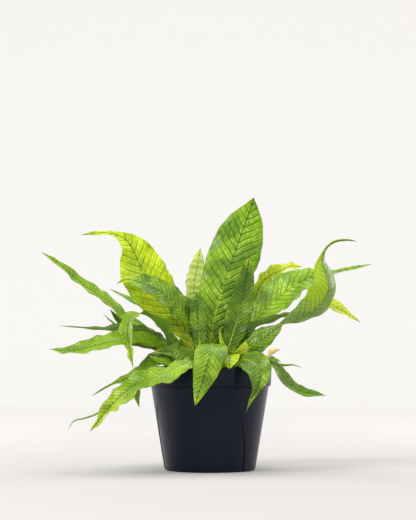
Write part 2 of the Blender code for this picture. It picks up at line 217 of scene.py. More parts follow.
def new_group(name, kind, inputs, outputs):
    """A node group with its sockets, each label with its type, the values given to it and its results."""
    tree = bpy.data.node_groups.new(name, kind)
    for side, sockets in (("INPUT", inputs), ("OUTPUT", outputs)):
        for label, socket_kind in sockets.items():
            tree.interface.new_socket(label, in_out=side, socket_type="NodeSocket" + socket_kind)
    return tree, tree.nodes.new("NodeGroupInput").outputs, tree.nodes.new("NodeGroupOutput").inputs


def noise(tree, spot, scale, detail):
    """A noise texture's value."""
    values = {"Vector": spot, "Scale": scale, "Detail": detail}
    return join_node(tree, "ShaderNodeTexNoise", values).outputs[0]


def bump(tree, height, strength, distance):
    """A normal bent by a height."""
    values = {"Height": height, "Strength": strength, "Distance": distance}
    return join_node(tree, "ShaderNodeBump", values).outputs[0]


def grain_group():
    """Fine uneven grain of moulded or grown surfaces: a mask, and a height for bump."""
    tree, given, result = new_group(
        "surface grain", "ShaderNodeTree",
        {"Place": "Vector", "Grain Scale": "Float", "Patch Scale": "Float"},
        {"Patches": "Float", "Height": "Float"})
    fine = noise(tree, given["Place"], given["Grain Scale"], 3.0)
    broad = noise(tree, given["Place"], given["Patch Scale"], 4.0)
    tree.links.new(broad, result["Patches"])
    tree.links.new(calc(tree, "MULTIPLY_ADD", broad, 0.4, fine), result["Height"])
    return tree


surface_grain = grain_group()


def use_grain(tree, place_socket, grain_scale, patch_scale):
    """Places the shared grain with this surface's own scales."""
    node = tree.nodes.new("ShaderNodeGroup")
    node.node_tree = surface_grain
    tree.links.new(place_socket, node.inputs["Place"])
    node.inputs["Grain Scale"].default_value = grain_scale
    node.inputs["Patch Scale"].default_value = patch_scale
    return node


def charcoal_plastic():
    """Charcoal polypropylene: soft sheen, handling smudges, and pale dust specks from the potting bench."""
    material, tree, output = new_finish("charcoal plastic")
    where = tree.nodes.new("ShaderNodeTexCoord").outputs["Object"]
    grain = use_grain(tree, where, 2200.0, 32.0)
    specks = join_node(tree, "ShaderNodeTexVoronoi", {"Vector": where, "Scale": 190.0})
    speck = remap(tree, specks.outputs["Distance"], 0.07, 0.03)
    rare = calc(tree, "GREATER_THAN", join_node(tree, "ShaderNodeSeparateColor", {
        0: specks.outputs["Color"]}).outputs[0], 0.93)
    dust = times(tree, speck, rare)
    colour = blend_colours(tree, grain.outputs["Patches"],
                           (0.0036, 0.0045, 0.0100, 1), (0.0066, 0.0080, 0.0165, 1))
    colour = blend_colours(tree, times(tree, dust, 0.55), colour, (0.42, 0.38, 0.33, 1))
    rough = remap(tree, grain.outputs["Patches"], 0.35, 0.65, 0.28, 0.32)
    normal = bump(tree, grain.outputs["Height"], 0.12, 0.0002)
    shader = join_node(tree, "ShaderNodeBsdfPrincipled", {
        "Base Color": colour, "Roughness": rough, "Normal": normal, "IOR": 1.49,
        "Specular IOR Level": 0.20, "Specular Tint": (0.74, 0.80, 1.0, 1)})
    tree.links.new(shader.outputs[0], output.inputs[0])
    return material


def drain_cutter(angle):
    """A round plug through the floor, for cutting."""
    bm = bmesh.new()
    bmesh.ops.create_cone(bm, cap_ends=True, segments=24, radius1=0.005, radius2=0.005, depth=0.008)
    bmesh.ops.translate(bm, verts=bm.verts, vec=(0.041 * math.cos(angle), 0.041 * math.sin(angle), 0.0))
    return bm


def arch_cutter(middle):
    """A tall pointed arch of wall, for cutting: full depth low down, running out at its point."""
    levels, spans = 14, 12
    bm = bmesh.new()
    loops = []
    for level in range(levels):
        share = level / levels
        height = arch_top * share - 0.002 * (1 - share)
        half = arch_half_angle * (1 - share ** 2.2)
        angles = [middle + half * (2 * k / spans - 1) for k in range(spans + 1)]
        floor = wall_radius(height) - arch_depth * (1 - share ** 2)
        loop = [(floor, a) for a in angles] + [(wall_radius(height) + 0.004, a) for a in reversed(angles)]
        loops.append([bm.verts.new((r * math.cos(a), r * math.sin(a), height)) for r, a in loop])
    reach = wall_radius(arch_top) + 0.0005
    point = bm.verts.new((reach * math.cos(middle), reach * math.sin(middle), arch_top))
    for low, high in zip(loops, loops[1:]):
        for k in range(len(low)):
            j = (k + 1) % len(low)
            bm.faces.new((low[k], low[j], high[j], high[k]))
    for k in range(len(loops[-1])):
        bm.faces.new((loops[-1][k], loops[-1][(k + 1) % len(loops[-1])], point))
    bm.faces.new(loops[0][::-1])
    bmesh.ops.triangulate(bm, faces=bm.faces)
    bmesh.ops.recalc_face_normals(bm, faces=bm.faces)
    return bm


def cut_away(piece, shapes):
    """Cuts shapes out of a piece."""
    cutters = []
    for bm in shapes:
        mesh = bpy.data.meshes.new("cutter")
        bm.to_mesh(mesh)
        bm.free()
        cutter = place("cutter", mesh)
        cut = piece.modifiers.new("cut", "BOOLEAN")
        cut.operation = "DIFFERENCE"
        cut.object = cutter
        cutters.append(cutter)
    bpy.context.view_layer.update()
    settle(piece)
    for cutter in cutters:
        bpy.data.objects.remove(cutter, do_unlink=True)


pot = place("pot_shell", turned_shell("pot_shell", pot_outline(), 192))
pot.data.materials.append(charcoal_plastic())
cut_away(pot, [arch_cutter(middle) for middle in arch_angles])
cut_away(pot, [drain_cutter((k + 0.5) * math.pi / 3) for k in range(6)])
pot.data.shade_smooth()
pot.data.set_sharp_from_angle(angle=math.radians(24))
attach(pot, "root")
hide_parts("nursery_pot")

# Potting mix. Peat crumbs, bark chips and a little perlite, pressed in by hand to just under the rim.
# The bed is one uneven surface; the loose crumbs on top are scattered over it.

soil_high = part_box("potting_soil")[1]
soil_top = soil_high[2]
soil_radius = soil_high[0]
soil_gap = 0.0008
soil_edge_drop = 0.0035


def soil_bed():
    """The uneven top of the mix with the buried side below it."""
    steps = 40
    dome = [(soil_radius * k / steps, soil_top - soil_edge_drop * (k / steps) ** 6 - soil_gap)
            for k in range(steps + 1)]
    side = [(body_top_radius - wall_thickness - soil_gap, band_bottom - 0.003),
            (wall_radius(foot_round) * 0.88 - wall_thickness, foot_round + 0.002)]
    floor = [(0.0, foot_round + 0.002)]
    mesh = turned_shell("soil_bed", dome + side + floor, 120)
    return place("soil_bed", mesh)


def scatter_tree(name, pieces):
    """Scatters turned copies of small pieces over the faces that look up and lie high enough."""
    tree, given, result = new_group(
        name, "GeometryNodeTree",
        {"Geometry": "Geometry", "Density": "Float", "Smallest": "Float", "Largest": "Float", "Sink": "Float",
         "Lowest": "Float", "Seed": "Int", "Finish": "Material"}, {"Geometry": "Geometry"})
    normal = tree.nodes.new("GeometryNodeInputNormal")
    upward = join_node(tree, "ShaderNodeSeparateXYZ", {0: normal.outputs[0]}).outputs[2]
    spot = tree.nodes.new("GeometryNodeInputPosition")
    level = join_node(tree, "ShaderNodeSeparateXYZ", {0: spot.outputs[0]}).outputs[2]
    open_top = times(tree, calc(tree, "GREATER_THAN", upward, 0.35),
                     calc(tree, "GREATER_THAN", level, given["Lowest"]))
    points = join_node(tree, "GeometryNodeDistributePointsOnFaces", {
        "Mesh": given["Geometry"], "Density": given["Density"],
        "Selection": open_top, "Seed": given["Seed"]})
    chunk = pieces(tree)
    size = join_node(tree, "FunctionNodeRandomValue", {
        2: given["Smallest"], 3: given["Largest"], "Seed": 3})
    squash = join_node(tree, "FunctionNodeRandomValue", {
        0: (0.6, 0.6, 0.35), 1: (1.3, 1.0, 0.8), "Seed": 5}, data_type="FLOAT_VECTOR")
    scale = join_node(tree, "ShaderNodeVectorMath", {
        0: squash.outputs[0], 3: size.outputs[1]}, operation="SCALE")
    turn = join_node(tree, "FunctionNodeRandomValue", {
        0: (-0.5, -0.5, 0.0), 1: (0.5, 0.5, 6.283), "Seed": 8}, data_type="FLOAT_VECTOR")
    copies = join_node(tree, "GeometryNodeInstanceOnPoints", {
        "Points": points.outputs["Points"], "Instance": chunk, "Rotation": turn.outputs[0],
        "Scale": scale.outputs[0]})
    sink = join_node(tree, "ShaderNodeCombineXYZ", {2: times(tree, given["Sink"], -1.0)})
    moved = join_node(tree, "GeometryNodeTranslateInstances", {
        "Instances": copies.outputs[0], "Translation": sink.outputs[0], "Local Space": False})
    real = join_node(tree, "GeometryNodeRealizeInstances", {0: moved.outputs[0]})
    done = join_node(tree, "GeometryNodeSetMaterial", {
        "Geometry": real.outputs[0], "Material": given["Finish"]})
    tree.links.new(done.outputs[0], result[0])
    return tree


def crumb(tree):
    """One lumpy crumb: a coarse ball pushed out of round."""
    ball = join_node(tree, "GeometryNodeMeshIcoSphere", {"Radius": 1.0, "Subdivisions": 2})
    lump = join_node(tree, "ShaderNodeTexNoise", {"Scale": 1.3})
    push = join_node(tree, "ShaderNodeVectorMath", {
        0: lump.outputs["Color"], 1: (0.5, 0.5, 0.5)}, operation="SUBTRACT")
    grown = join_node(tree, "ShaderNodeVectorMath", {0: push.outputs[0], 3: 1.5}, operation="SCALE")
    return join_node(tree, "GeometryNodeSetPosition", {
        "Geometry": ball.outputs[0], "Offset": grown.outputs[0]}).outputs[0]


def set_inputs(modifier, values):
    """Sets a Geometry Nodes modifier's inputs by their names."""
    for item in modifier.node_group.interface.items_tree:
        if item.in_out == "INPUT" and item.name in values:
            modifier[item.identifier] = values[item.name]


def scattered(name, over, tree, values):
    """A piece made of what a scatter tree lays over another piece."""
    piece = place(name, over.data.copy())
    modifier = piece.modifiers.new("scatter", "NODES")
    modifier.node_group = tree
    set_inputs(modifier, values)
    bpy.context.view_layer.update()
    return settle(piece)


def peat_finish(name, dark, light, rough):
    """A matt crumbly finish whose tone changes from crumb to crumb."""
    material, tree, output = new_finish(name)
    where = tree.nodes.new("ShaderNodeTexCoord").outputs["Object"]
    grain = use_grain(tree, where, 1400.0, 160.0)
    cells = join_node(tree, "ShaderNodeTexVoronoi", {"Vector": where, "Scale": 260.0})
    tone = join_node(tree, "ShaderNodeSeparateColor", {0: cells.outputs["Color"]}).outputs[0]
    share = calc(tree, "MULTIPLY_ADD", tone, 0.5, times(tree, grain.outputs["Patches"], 0.5))
    colour = blend_colours(tree, share, dark, light)
    normal = bump(tree, grain.outputs["Height"], 0.7, 0.0006)
    shader = join_node(tree, "ShaderNodeBsdfPrincipled", {
        "Base Color": colour, "Roughness": rough, "Normal": normal})
    tree.links.new(shader.outputs[0], output.inputs[0])
    return material


crumb_scatter = scatter_tree("crumb scatter", crumb)
peat = peat_finish("peat", (0.012, 0.007, 0.004, 1), (0.060, 0.034, 0.018, 1), 0.95)
bark = peat_finish("bark", (0.050, 0.024, 0.010, 1), (0.170, 0.090, 0.042, 1), 0.85)
perlite = peat_finish("perlite", (0.55, 0.53, 0.48, 1), (0.78, 0.76, 0.72, 1), 0.9)
bed = soil_bed()
bed.data.materials.append(peat)
bed.data.shade_smooth()
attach(bed, "root")
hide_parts("potting_soil")
top_dressing = [
    ("peat_crumbs", peat, 230000, 0.0005, 0.0016, 0.0002, 11),
    ("bark_chips", bark, 26000, 0.0012, 0.0030, 0.0006, 12),
    ("perlite_grains", perlite, 9000, 0.0006, 0.0013, 0.0001, 13),
]
for name, finish, density, smallest, largest, sink, seed in top_dressing:
    loose = scattered(name, bed, crumb_scatter, {
        "Density": density, "Smallest": smallest, "Largest": largest, "Sink": sink, "Seed": seed,
        "Lowest": soil_top - 0.0032, "Finish": finish})
    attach(loose, "root")

# Rhizome. The creeping rootstock that carries the fronds: finger-thick to pencil-thick branches that
# wander over the mix, fused where they meet and covered in thin brown papery scales.

mat_low, mat_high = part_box("rhizome")
branch_radius = (mat_high[2] - mat_low[2]) * 0.47
branch_level = (mat_high[2] + mat_low[2]) / 2
branch_headings = [8, 47, 88, 131, 172, 214, 258, 305, 338]
branch_reach = min(mat_high[0], mat_high[1]) - 2 * branch_radius


def rootstock():
    """Wandering branches from the middle of the pot, as one mesh of tapered tubes."""
    curve = bpy.data.curves.new("branches", "CURVE")
    curve.dimensions = "3D"
    curve.bevel_depth = branch_radius
    curve.bevel_resolution = 3
    curve.use_fill_caps = True
    for index, heading in enumerate(branch_headings):
        spline = curve.splines.new("POLY")
        steps = 22
        spline.points.add(steps)
        for k in range(steps + 1):
            share = k / steps
            angle = math.radians(heading + 26 * math.sin(3.2 * share * math.pi + index * 1.9) * share)
            reach = branch_reach * share
            lift = 0.0003 * math.sin(9 * share + index)
            spline.points[k].co = (reach * math.cos(angle), reach * math.sin(angle), branch_level + lift, 1)
            knob = 1 + 0.10 * math.sin(21 * share + index)
            spline.points[k].radius = knob * (1.0 - 0.35 * share ** 3)
    holder = bpy.data.objects.new("branches", curve)
    bpy.context.scene.collection.objects.link(holder)
    bpy.context.view_layer.update()
    mesh = bpy.data.meshes.new_from_object(holder.evaluated_get(bpy.context.evaluated_depsgraph_get()))
    bpy.data.objects.remove(holder, do_unlink=True)
    bm = bmesh.new()
    bm.from_mesh(mesh)
    bmesh.ops.remove_doubles(bm, verts=bm.verts, dist=0.00001)
    bmesh.ops.recalc_face_normals(bm, faces=bm.faces)
    bm.to_mesh(mesh)
    bm.free()
    return place("rhizome_branches", mesh)


def papery_scale(tree):
    """One pointed rootstock scale, a flat flake bent a little."""
    flake = join_node(tree, "GeometryNodeMeshGrid", {
        "Size X": 2.0, "Size Y": 0.9, "Vertices X": 4, "Vertices Y": 3})
    spot = tree.nodes.new("GeometryNodeInputPosition")
    parts = join_node(tree, "ShaderNodeSeparateXYZ", {0: spot.outputs[0]})
    narrow = times(tree, parts.outputs[1], parts.outputs[0], -0.8)
    lifted = times(tree, calc(tree, "POWER", calc(tree, "ADD", parts.outputs[0], 1.0), 2.0), 0.2)
    offset = join_node(tree, "ShaderNodeCombineXYZ", {1: narrow, 2: lifted})
    return join_node(tree, "GeometryNodeSetPosition", {
        "Geometry": flake.outputs[0], "Offset": offset.outputs[0]}).outputs[0]


branches = rootstock()
scale_finish = peat_finish("rootstock scales", (0.060, 0.028, 0.012, 1), (0.260, 0.140, 0.062, 1), 0.75)
branches.data.materials.clear()
branches.data.materials.append(scale_finish)
branches.data.shade_smooth()
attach(branches, "root")
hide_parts("rhizome")
scales = scattered("rhizome_scales", branches, scatter_tree("scale scatter", papery_scale), {
    "Density": 160000, "Smallest": 0.0010, "Largest": 0.0021, "Sink": 0.0, "Seed": 21,
    "Finish": scale_finish})
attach(scales, "root")

# Fronds. Each is one undivided leathery blade on a short stalk, with a midrib that stands out below,
# wavy margins, a drawn-out drip tip, and raised cells between its veins like a crocodile's scales.
# Each blade is grown from the sections of its plain solid, so it keeps that solid's place and bend.

foot_level = mat_high[2] + 0.0003
blade_thickness = 0.00022
midrib_radius = 0.0009
vein_slant = 0.95
fine_step = 0.0012

foot_reach = 0.056
stalk_width = 0.005
full_ruffle_width = 0.026
narrowest_pitch, widest_pitch = 0.0056, 0.0102

# Share of its length where a frond starts to yellow, for those that differ from the usual.
usual_yellowing = 0.90
yellow_from = {
    "front_left_frond": 0.62, "left_arching_frond": 0.80, "right_front_frond": 0.72,
    "right_broad_frond": 0.92, "crumpled_right_frond": 0.60, "right_yellow_tip_frond": 0.62,
    "right_folded_frond": 0.95,
    "right_front_tendril_frond": 0.75, "folded_left_frond": 0.60, "drooping_left_frond": 0.78,
    "far_left_upper_frond": 0.88, "left_low_frond": 0.88, "tall_frond": 0.97,
}

# Fronds whose margins turn down from the midrib, as those of every rear frond do.
drooping_margins = ("tall_frond", "front_drooping_frond")

# How light a frond's green is, from 0 to 1, for those that differ from the usual.
usual_lightness = 0.56
lightness = {
    "tall_frond": 0.40, "tall_side_frond": 0.30, "centre_left_frond": 0.25, "left_arching_frond": 0.42,
    "left_broad_frond": 0.72, "drooping_left_frond": 0.82, "left_low_frond": 0.74, "right_broad_frond": 0.58,
    "front_left_frond": 0.60, "front_drooping_frond": 0.42, "right_dark_frond": 0.30, "right_low_frond": 0.50,
    "right_front_frond": 0.42, "far_left_upper_frond": 0.85, "folded_left_frond": 0.35,
    "pointed_left_frond": 0.30, "behind_left_frond": 0.45, "hanging_left_tip_frond": 0.45,
    "pleated_young_frond": 0.85, "curled_young_frond": 0.80, "short_front_frond": 0.70,
}


def unit(vectors):
    """Vectors at length one."""
    return vectors / np.maximum(np.linalg.norm(vectors, axis=-1, keepdims=True), 1e-9)


def plain_sections(node):
    """The solid's sections from foot to tip, each as left margin, right margin, upper rib, lower rib."""
    bm = bmesh.new()
    bm.from_mesh(frame["nodes"][node].data)
    bmesh.ops.remove_doubles(bm, verts=bm.verts, dist=0.000002)
    near = sorted(bm.verts, key=lambda v: (v.co.xy.length > foot_reach, abs(v.co.z - foot_level)))
    level, seen, rings = near[:4], set(near[:4]), []
    while level:
        rings.append([np.array(v.co) for v in level])
        following = {e.other_vert(v) for v in level for e in v.link_edges} - seen
        seen |= following
        level = list(following)
    bm.free()
    if any(len(ring) != 4 for ring in rings[:-1]) or len(rings[-1]) != 1:
        raise RuntimeError(f"{node}: sections not found, {[len(ring) for ring in rings]}")
    tip = rings.pop()[0]
    centres = np.array([np.mean(ring, axis=0) for ring in rings] + [tip])
    forward = np.gradient(centres, axis=0)

    # A blade's two ribs are its closest corners; a stalk's pairs are its diagonals.
    turns = []
    for ring in rings:
        gap = {(a, b): np.linalg.norm(ring[a] - ring[b]) for a, b in itertools.combinations(range(4), 2)}
        splits = [((0, 1), (2, 3)), ((0, 2), (1, 3)), ((0, 3), (1, 2))]
        if max(gap.values()) > stalk_width:
            (a, b), (c, d) = min(splits, key=lambda pairs: min(gap[pair] for pair in pairs))
        else:
            (a, b), (c, d) = max(splits, key=lambda pairs: sum(gap[pair] for pair in pairs))
        turns.append([[ring[k] for k in margins + ribs]
                      for one, two in (((a, b), (c, d)), ((c, d), (a, b)))
                      for margins in (one, one[::-1]) for ribs in (two, two[::-1])])
    spans = [max(np.linalg.norm(turn[1] - turn[0]) for turn in ring) for ring in turns]
    widest = int(np.argmax(spans))
    margins_droop = node in drooping_margins or node.startswith("rear_")
    sections = [None] * len(rings)
    for turn in turns[widest]:
        left, right, upper, lower = turn
        middle = (left + right) / 2
        nearer = np.linalg.norm(upper - middle) < np.linalg.norm(lower - middle)
        long_way = np.linalg.norm(right - left) > np.linalg.norm(upper - lower)
        handed = np.cross(right - left, forward[widest]) @ (upper - lower) > 0
        if long_way and handed and nearer != margins_droop:
            sections[widest] = turn
    for chain in (range(widest - 1, -1, -1), range(widest + 1, len(rings))):
        before = sections[widest]
        for k in chain:
            sections[k] = before = max(turns[k], key=lambda turn: sum(
                unit(turn[i] - turn[j]) @ unit(before[i] - before[j]) for i, j in ((1, 0), (2, 3))))
    sections.append([tip] * 4)
    return np.array(sections)


def smooth_through(points, stops):
    """A smooth curve through evenly spaced points, read at stops counted in points."""
    padded = np.concatenate([[2 * points[0] - points[1]], points, [2 * points[-1] - points[-2]]])
    span = np.clip(stops.astype(int), 0, len(points) - 2)
    t = (stops - span)[:, None]
    before, start, end, after = (padded[span + k] for k in range(4))
    return 0.5 * (2 * start + (end - before) * t + (2 * before - 5 * start + 4 * end - after) * t ** 2
                  + (3 * start - before - 3 * end + after) * t ** 3)


def blade_mesh(name, sections, pitch, start_yellow, light):
    """A closed fine blade over the sections, with the values that its relief and finish read."""
    centre = (sections[:, 2] + sections[:, 3]) / 2
    length = np.linalg.norm(np.diff(centre, axis=0), axis=1).sum()
    rows = int(np.clip(length / fine_step, 60, 250))
    stops = np.linspace(0, len(sections) - 1, rows + 1)[:-1]
    left, right, upper, lower = (smooth_through(sections[:, k], stops) for k in range(4))
    middle = (upper + lower) / 2
    half = np.linalg.norm(right - left, axis=1) / 2
    columns = int(np.clip(2 * half.max() / fine_step, 8, 52)) // 2 * 2
    side = unit(right - left)
    forward = unit(np.gradient(middle, axis=0))
    up = unit(np.cross(side, forward))
    share = stops / (len(sections) - 1)
    along = np.concatenate([[0.0], np.cumsum(np.linalg.norm(np.diff(middle, axis=0), axis=1))])
    leafy = np.clip((half - 0.0016) / 0.005, 0, 1)
    stalk_half = np.linalg.norm(upper - lower, axis=1) / 2
    across_top = np.linspace(-1, 1, columns + 1)
    loop = np.concatenate([across_top, across_top[-2:0:-1]])
    is_top = np.concatenate([np.ones(columns + 1), -np.ones(columns - 1)])
    v = loop[None, :, None]
    base = (middle[:, None] * (1 - v ** 2) + left[:, None] * v * (v - 1) / 2
            + right[:, None] * v * (v + 1) / 2)
    offset = np.abs(loop)[None, :] * half[:, None]
    round_share = np.sqrt(np.maximum(0.0, 1 - loop ** 2))[None, :]
    rib = np.exp(-(offset / midrib_radius) ** 2) * stalk_half[:, None]
    rib = rib * np.where(is_top > 0, 0.35, 1.05)[None, :]
    skin = blade_thickness * (1 - loop ** 8)[None, :]
    height = (1 - leafy[:, None]) * round_share * stalk_half[:, None] + leafy[:, None] * (rib + skin)
    points = base + up[:, None] * (height * is_top[None, :])[:, :, None]
    count = len(loop)
    vertices = np.concatenate([points.reshape(-1, 3), sections[-1][:1]])
    tip = len(vertices) - 1
    grid = np.arange(rows * count).reshape(rows, count)
    nxt = np.roll(grid, -1, axis=1)
    quads = np.stack([grid[:-1], nxt[:-1], nxt[1:], grid[1:]], axis=-1).reshape(-1, 4)
    faces = quads.tolist() + [[int(grid[-1, k]), int(nxt[-1, k]), tip] for k in range(count)]
    faces.append(grid[0][::-1].tolist())
    mesh = bpy.data.meshes.new(name)
    mesh.from_pydata(vertices.tolist(), [], faces)
    signed = loop[None, :] * half[:, None]
    wide = np.ones(count)[None, :]
    values = {
        "along": along[:, None] * wide,
        "across": signed,
        "edge": np.abs(loop)[None, :] * np.ones((rows, 1)),
        "share": share[:, None] * wide,
        "yellowing": np.clip((share - start_yellow) / (1.03 - start_yellow), 0, 1)[:, None] * wide,
        "light": np.full((rows, count), light),
        "leafy": (leafy * np.clip((1 - share) / 0.05, 0, 1))[:, None] * wide,
    }
    last = {"along": along[-1], "across": 0.0, "edge": 0.0, "share": 1.0, "yellowing": 1.0, "light": light,
            "leafy": 0.0}
    for label, value in values.items():
        layer = mesh.attributes.new(label, "FLOAT", "POINT")
        layer.data.foreach_set("value", np.append(value.reshape(-1), last[label]).astype(np.float32))
    for label, value in (("up", up), ("side", side)):
        layer = mesh.attributes.new(label, "FLOAT_VECTOR", "POINT")
        spread = np.repeat(value[:, None], count, axis=1).reshape(-1, 3)
        layer.data.foreach_set("vector", np.vstack([spread, value[-1:]]).astype(np.float32).ravel())
    under = mesh.attributes.new("under", "FLOAT", "FACE")
    column = np.tile(np.arange(count) >= columns, rows - 1)
    closing = (np.arange(count) >= columns).tolist() + [False]
    under.data.foreach_set("value", np.concatenate([column, closing]).astype(np.float32))
    uv = mesh.uv_layers.new(name="blade")
    corners = np.empty(len(mesh.loops), dtype=np.int32)
    mesh.loops.foreach_get("vertex_index", corners)
    flat_u = np.append((along[:, None] * wide).reshape(-1), along[-1]) / pitch
    flat_v = np.append(signed.reshape(-1), 0.0) / pitch
    uv.data.foreach_set("uv", np.stack([flat_u[corners], flat_v[corners]], axis=1).astype(np.float32).ravel())
    return mesh


def named(tree, label, kind="FLOAT"):
    """Reads one of the blade's stored values."""
    return join_node(tree, "GeometryNodeInputNamedAttribute", {"Name": label}, data_type=kind).outputs[0]


def off_middle(tree, place_in_cell):
    """How far a place is from the middle of its cell, 1 at the cell's edge."""
    from_middle = calc(tree, "MULTIPLY_ADD", calc(tree, "FRACT", place_in_cell), 2.0, -1.0)
    return calc(tree, "ABSOLUTE", from_middle)


def spot_at(tree, *parts):
    """A vector put together from its parts."""
    return join_node(tree, "ShaderNodeCombineXYZ", dict(enumerate(parts))).outputs[0]


def scaled(tree, vector, size):
    """A vector at another size."""
    return join_node(tree, "ShaderNodeVectorMath", {0: vector, 3: size}, operation="SCALE").outputs[0]


def blade_relief():
    """The tree that gives a plain blade its wavy margins, its pleats and its raised cells."""
    measures = ("Ruffle Height", "Ruffle Length", "Ragged Margin", "Cell Height", "Vein Spacing",
                "Pleat Height", "Pleat Length", "Sway", "Turn")
    tree, given, result = new_group(
        "frond relief", "GeometryNodeTree",
        {"Geometry": "Geometry", **dict.fromkeys(measures, "Float"), "Upper Finish": "Material",
         "Lower Finish": "Material"}, {"Geometry": "Geometry"})
    along, across, edge, leafy = (named(tree, label) for label in ("along", "across", "edge", "leafy"))
    hand = calc(tree, "SIGN", across)
    phase = calc(tree, "DIVIDE", along, given["Ruffle Length"])
    spot = spot_at(tree, phase, times(tree, hand, 1.7), given["Turn"])
    wander = calc(tree, "SUBTRACT", noise(tree, spot, 0.9, 1.0), 0.5)
    swing = calc(tree, "ADD", times(tree, phase, 6.283), times(tree, wander, 9.0))
    swing = calc(tree, "ADD", swing, times(tree, hand, 1.1))
    swing = calc(tree, "SINE", calc(tree, "ADD", swing, given["Turn"]))
    wave = calc(tree, "MULTIPLY_ADD", swing, 0.6, times(tree, wander, 2.6))
    rising = times(tree, calc(tree, "POWER", edge, 1.8), leafy)
    ruffle = times(tree, wave, rising, given["Ruffle Height"])
    slow_spot = spot_at(tree, times(tree, phase, 0.35), 0.0, given["Turn"])
    slow = calc(tree, "SUBTRACT", noise(tree, slow_spot, 1.0, 0.0), 0.5)
    sway = times(tree, slow, given["Sway"], leafy)
    reach = calc(tree, "ABSOLUTE", across)
    pitch = given["Vein Spacing"]
    band = calc(tree, "DIVIDE", calc(tree, "MULTIPLY_ADD", reach, -vein_slant, along), pitch)
    row = times(tree, band, 2.0)
    column = times(tree, calc(tree, "DIVIDE", reach, pitch), 2.0)
    column = calc(tree, "MULTIPLY_ADD", calc(tree, "FLOOR", row), 0.37, column)
    domes = [calc(tree, "SUBTRACT", 1.0, calc(tree, "POWER", off_middle(tree, place_in_cell), 3.0))
             for place_in_cell in (band, row, column)]
    dome = times(tree, domes[0], calc(tree, "MULTIPLY_ADD", domes[1], 0.35, 0.65))
    dome = times(tree, dome, calc(tree, "MULTIPLY_ADD", domes[2], 0.35, 0.65))
    settled = times(tree, leafy, calc(tree, "SUBTRACT", 1.0, calc(tree, "POWER", edge, 6.0)))
    cells = times(tree, dome, settled, given["Cell Height"])
    folds = calc(tree, "DIVIDE", along, given["Pleat Length"])
    fold = calc(tree, "SINE", times(tree, folds, 6.283))
    pleats = times(tree, fold, settled, given["Pleat Height"])
    lift = calc(tree, "ADD", calc(tree, "ADD", ruffle, cells), calc(tree, "ADD", sway, pleats))
    upward = scaled(tree, named(tree, "up", "FLOAT_VECTOR"), lift)
    nibble_spot = spot_at(
        tree, times(tree, phase, 1.9), times(tree, hand, 4.0), given["Turn"])
    nibble = calc(tree, "SUBTRACT", noise(tree, nibble_spot, 1.0, 1.0), 0.5)
    ragged = times(tree, nibble, given["Ragged Margin"])
    ragged = times(tree, ragged, leafy, across)
    sideways = scaled(tree, named(tree, "side", "FLOAT_VECTOR"), ragged)
    offset = join_node(tree, "ShaderNodeVectorMath", {0: upward, 1: sideways}, operation="ADD")
    moved = join_node(tree, "GeometryNodeSetPosition", {
        "Geometry": given["Geometry"], "Offset": offset.outputs[0]})
    real = join_node(tree, "GeometryNodeRealizeInstances", {0: moved.outputs[0]})
    upper = join_node(tree, "GeometryNodeSetMaterial", {
        "Geometry": real.outputs[0], "Material": given["Upper Finish"]})
    below = calc(tree, "GREATER_THAN", named(tree, "under"), 0.5)
    lower = join_node(tree, "GeometryNodeSetMaterial", {
        "Geometry": upper.outputs[0], "Selection": below, "Material": given["Lower Finish"]})
    tree.links.new(lower.outputs[0], result[0])
    return tree


def scale_pattern():
    """The vein net of the blade, read from its own lengthways and sideways measure, in vein spacings."""
    tree, given, result = new_group(
        "crocodile scales", "ShaderNodeTree",
        {"Measure": "Vector", "Place": "Vector", "Edge": "Float", "Unevenness": "Float"},
        {"Veins": "Float", "Cell Tone": "Float", "Height": "Float"})
    measure = join_node(tree, "ShaderNodeSeparateXYZ", {0: given["Measure"]})
    reach = calc(tree, "ABSOLUTE", measure.outputs[1])
    jitter = calc(tree, "SUBTRACT", noise(tree, given["Place"], 95.0, 1.0), 0.5)
    shift = times(tree, jitter, given["Unevenness"])
    band = calc(tree, "ADD", calc(tree, "MULTIPLY_ADD", reach, -vein_slant, measure.outputs[0]), shift)
    row = times(tree, band, 2.0)
    column = calc(tree, "MULTIPLY_ADD", calc(tree, "FLOOR", row), 0.37, times(tree, reach, 2.0))
    column = calc(tree, "ADD", column, shift)
    nearness = [off_middle(tree, place_in_cell) for place_in_cell in (band, row, column)]
    inner = calc(tree, "SUBTRACT", 1.0, times(tree, given["Edge"], 0.72))
    main_vein = times(tree, remap(tree, nearness[0], 0.76, 0.94), inner)
    side_vein = times(tree, remap(tree, nearness[1], 0.66, 1.0), 0.30)
    cross_vein = times(tree, remap(tree, nearness[2], 0.66, 1.0), 0.36)
    veins = calc(tree, "MAXIMUM", main_vein, calc(tree, "MAXIMUM", side_vein, cross_vein))
    cell = spot_at(
        tree, calc(tree, "FLOOR", row), calc(tree, "FLOOR", column), calc(tree, "SIGN", measure.outputs[1]))
    tone = join_node(tree, "ShaderNodeTexWhiteNoise", {0: cell}, noise_dimensions="3D")
    domes = [calc(tree, "SUBTRACT", 1.0, calc(tree, "POWER", off, 2.4)) for off in nearness]
    cushion = times(tree, calc(tree, "MULTIPLY_ADD", domes[1], 0.5, 0.5),
                    calc(tree, "MULTIPLY_ADD", domes[2], 0.6, 0.4))
    tree.links.new(veins, result["Veins"])
    tree.links.new(tone.outputs[0], result["Cell Tone"])
    tree.links.new(times(tree, domes[0], cushion), result["Height"])
    return tree


frond_relief = blade_relief()
crocodile_scales = scale_pattern()


